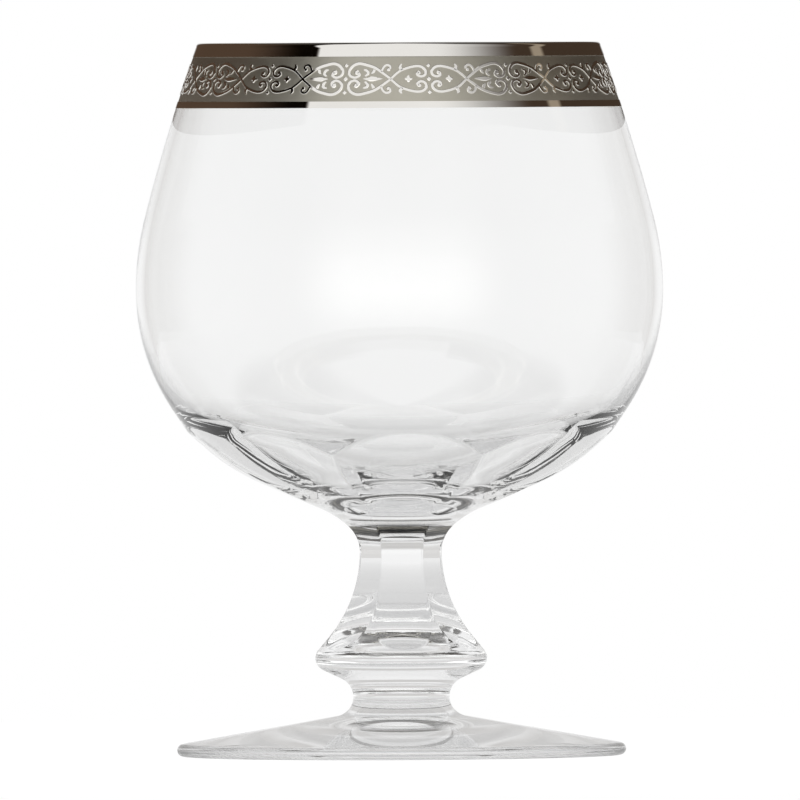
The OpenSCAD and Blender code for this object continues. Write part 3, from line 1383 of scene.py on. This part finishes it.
@dataclass(frozen=True)
class Studio:
    """Camera, floor and light, in millimetres and degrees."""

    azimuth: float = -2.3
    distance: float = 6000.0
    height: float = 130.0
    aim_z: float = 62.3
    lens: float = 1541.0
    sensor: float = 36.0
    roll: float = -0.27
    nearest: float = 100.0
    farthest: float = 100000.0
    floor_half: float = 300.0
    floor_drop: float = 0.02
    floor_paint: float = 0.9
    floor_glow: float = 1.13
    floor_glow_share: float = 0.85
    # Painted shade round the glass: for all rays but the camera's, the floor glows dimmer near the glass and
    # fades out to floor_far, so the glass refracts and reflects a darker floor.
    floor_painted_shade_glow: float = 0.74
    floor_painted_shade_share: float = 0.23
    floor_far: float = 0.98
    floor_far_share: float = 0.95
    room: Triple = (0.93, 0.93, 0.93)
    cards: tuple[Card, ...] = (
        Card(-400, -51, 36, 100, (0.05, 0.045, 0.04)),
        Card(48, 400, 36, 100, (0.05, 0.045, 0.04), soft_left=12),
        Card(140, 400, 5, 24, (0.62, 0.61, 0.60)),
        Card(-400, -140, 5, 24, (0.62, 0.61, 0.60)),
        Card(-155, -116, -40, 17, (0.72, 0.71, 0.70), 10, soft_left=6),
        Card(116, 155, -40, 17, (0.72, 0.71, 0.70), 10, soft_right=6),
        Card(-36, 36, -10, 26, (1.55, 1.55, 1.53), 12, 16, 16),
    )
    strip: tuple[Card, ...] = (
        Card(-142, -37.4, -90, 90, (0.085, 0.053, 0.035), soft_left=6, soft_right=1.2),
        Card(-62, -37.4, -90, 90, (0.003, 0.002, 0.001), soft_left=18, soft_right=1.2),
        Card(36, 142, -90, 90, (0.055, 0.036, 0.024), soft_left=22, soft_right=6),
        Card(66, 72.5, -90, 90, (0.35, 0.29, 0.22), soft_left=1.5, soft_right=1.5),
    )
    strip_r: float = 70.0
    strip_front: float = 130.0
    strip_back: float = 112.0
    strip_high: float = 185.0
    strip_level_turn: float = 38.0
    strip_fall_turn: float = 110.0
    strip_columns: int = 120

    def camera(self) -> None:
        """Stand the camera far off, so that it sees nearly square on."""
        data = bpy.data.cameras.new("camera")
        data.lens, data.sensor_width = self.lens, self.sensor
        data.clip_start, data.clip_end = self.nearest * MM, self.farthest * MM
        thing = bpy.data.objects.new("camera", data)
        bpy.context.scene.collection.objects.link(thing)
        across, along = rising(self.azimuth)[::-1]
        thing.location = Vector((self.distance * across, -self.distance * along, self.height)) * MM
        aim = Vector((0.0, 0.0, self.aim_z * MM))
        thing.rotation_mode = "QUATERNION"
        level = (aim - thing.location).to_track_quat("-Z", "Y")
        thing.rotation_quaternion = level @ Quaternion((0.0, 0.0, 1.0), math.radians(self.roll))
        bpy.context.scene.camera = thing

    @staticmethod
    def window() -> bpy.types.NodeTree:
        """Node group that is 1 inside a range and fades out at its ends.

        Returns:
            The group.
        """
        names = ("Value", "Low", "High", "Low Soft", "High Soft")
        graph, source = fresh_group("soft window", dict.fromkeys(names, "Float"), {"Mask": "Float"})
        rise, fall = (
            graph.spread(source["Value"], {
                "From Min": graph.math("SUBTRACT", source[end], source[f"{end} Soft"]),
                "From Max": graph.math("ADD", source[end], source[f"{end} Soft"]),
            }, "SMOOTHSTEP")
            for end in ("Low", "High")
        )
        graph.add("NodeGroupOutput", {"Mask": graph.math("SUBTRACT", rise, fall)})
        return graph.tree

    def mask(self, graph: Graph, value: Socket, ends: Point, softs: Point) -> Socket:
        """Add a soft window over a value.

        Args:
            graph: Graph to add the nodes to.
            value: The value.
            ends: Ends of the window.
            softs: Half width of the fade at each end.

        Returns:
            The mask, from 0 to 1.
        """
        tree = bpy.data.node_groups.get("soft window") or self.window()
        inputs = {"Low": ends[0], "High": ends[1], "Low Soft": softs[0], "High Soft": softs[1]}
        return graph.add("ShaderNodeGroup", {"Value": value, **inputs}, node_tree=tree).outputs["Mask"]

    @staticmethod
    def bearing(graph: Graph, way: Socket) -> tuple[Socket, Socket]:
        """Degrees round from the camera, and the z, of a direction.

        Args:
            graph: Graph to add the nodes to.
            way: The direction.

        Returns:
            The degrees and the z.
        """
        split = graph.add("ShaderNodeSeparateXYZ", {"Vector": way})
        front = graph.math("MULTIPLY", split.outputs["Y"], -1.0)
        turn = graph.math("ARCTAN2", split.outputs["X"], front)
        return graph.math("DEGREES", turn), split.outputs["Z"]

    def shade(
        self, graph: Graph, cards: Iterable[Card], azimuth: Socket, elevation: Socket | None = None
    ) -> Socket | tuple[float, ...]:
        """Lay cards over the plain room.

        Args:
            graph: Graph to add the nodes to.
            cards: Cards, the last one on top.
            azimuth: Degrees round from the camera.
            elevation: Degrees above level, or none for cards of any height.

        Returns:
            The colour.
        """
        colour: Socket | tuple[float, ...] = (*self.room, 1.0)
        for card in cards:
            share = self.mask(graph, azimuth, (card.left, card.right), (card.soft_left, card.soft_right))
            if elevation is not None:
                level = self.mask(graph, elevation, (card.low, card.high), (card.soft, card.soft))
                share = graph.math("MULTIPLY", share, level)
            inputs = {"Factor": share, "A": colour, "B": (*card.colour, 1.0)}
            colour = graph.add("ShaderNodeMix", inputs, data_type="RGBA").outputs["Result"]
        return colour

    def tent(self) -> None:
        """Hang the strip of the light tent that only mirrors show, above all the platinum."""
        verts, faces = [], []
        for i in range(self.strip_columns):
            turn = 360.0 * i / self.strip_columns - 180.0
            share = min(max((abs(turn) - self.strip_level_turn) / self.strip_fall_turn, 0.0), 1.0)
            low = self.strip_front + share * (self.strip_back - self.strip_front)
            across, along = (self.strip_r * MM * value for value in rising(turn)[::-1])
            verts += [(across, -along, z * MM) for z in (low, self.strip_high)]
            k = (i + 1) % self.strip_columns
            faces.append((2 * i, 2 * k, 2 * k + 1, 2 * i + 1))
        thing = stand("tent_strip", verts, faces)
        thing.rotation_euler.z = math.radians(self.azimuth)
        for kind in ("camera", "diffuse", "transmission", "volume_scatter", "shadow"):
            setattr(thing, f"visible_{kind}", False)
        material, graph = fresh_material("tent strip")
        way = graph.add("ShaderNodeTexCoord").outputs["Object"]
        colour = self.shade(graph, self.strip, self.bearing(graph, way)[0])
        graph.surface(graph.add("ShaderNodeEmission", {"Color": colour}).outputs[0])
        thing.data.materials.append(material)

    def world(self) -> None:
        """Light the glass with soft cards in a plain room, white to the camera."""
        world = bpy.data.worlds.new("studio")
        bpy.context.scene.world = world
        world.use_nodes = True
        world.node_tree.nodes.clear()
        graph = Graph(world.node_tree)
        way = graph.add("ShaderNodeTexCoord").outputs["Generated"]
        inputs = {"Vector": way, "Angle": math.radians(-self.azimuth)}
        turned = graph.add("ShaderNodeVectorRotate", inputs, rotation_type="Z_AXIS").outputs["Vector"]
        azimuth, height = self.bearing(graph, turned)
        elevation = graph.math("DEGREES", graph.math("ARCSINE", height))
        colour = self.shade(graph, self.cards, azimuth, elevation)
        room = graph.add("ShaderNodeBackground", {"Color": colour}).outputs[0]
        white = graph.add("ShaderNodeBackground", {"Color": (1.0, 1.0, 1.0, 1.0)}).outputs[0]
        camera = graph.add("ShaderNodeLightPath").outputs["Is Camera Ray"]
        graph.surface(graph.blend(camera, room, white), "ShaderNodeOutputWorld")

    def floor(self) -> None:
        """Lay a pale floor that keeps the glass's shadow: white to the camera, with painted shade round the
        glass in its refractions and reflections.
        """
        half = self.floor_half * MM
        corners = [(-half, -half, 0.0), (half, -half, 0.0), (half, half, 0.0), (-half, half, 0.0)]
        thing = stand("floor", corners, [(0, 1, 2, 3)])
        thing.location.z = -self.floor_drop * MM
        material, graph = fresh_material("pale floor")
        spot = graph.add("ShaderNodeNewGeometry").outputs["Position"]
        far = graph.add("ShaderNodeVectorMath", {0: spot}, operation="LENGTH").outputs["Value"]
        # Painted shade: the floor's glow is dimmer near the glass, and only refracted and reflected rays see
        # it.
        light = graph.spread(far, {
            "From Min": self.floor_painted_shade_share * half,
            "From Max": self.floor_far_share * half,
            "To Min": self.floor_painted_shade_glow,
            "To Max": self.floor_far,
        })
        camera = graph.add("ShaderNodeLightPath").outputs["Is Camera Ray"]
        strength = graph.spread(camera, {"To Min": light, "To Max": self.floor_glow})
        paint = graph.add("ShaderNodeBsdfDiffuse", {"Color": (*[self.floor_paint] * 3, 1.0)}).outputs[0]
        glow = graph.add("ShaderNodeEmission", {"Strength": strength}).outputs[0]
        graph.surface(graph.blend(self.floor_glow_share, paint, glow))
        thing.data.materials.append(material)

    def look(self) -> None:
        """Set the view transform and let light pass many faces of glass."""
        scene = bpy.context.scene
        scene.view_settings.view_transform = "Standard"
        scene.cycles.max_bounces = 32
        scene.cycles.transmission_bounces = 32
        scene.cycles.glossy_bounces = 12
        scene.cycles.transparent_max_bounces = 24


def main() -> None:
    """Build the glass and the studio."""
    logging.basicConfig(level=logging.INFO, format="%(message)s")
    effects, joint = Effects(), FusedJoint().build()
    stem = Stem()
    bowl = Bowl(stem)
    bowl.make(effects, joint)
    stem.make(effects, joint)
    Foot(stem).make(effects, joint)
    Bands(bowl).make(effects)
    studio = Studio()
    studio.camera()
    studio.world()
    studio.floor()
    studio.tent()
    studio.look()


if __name__ == "__main__":
    main()
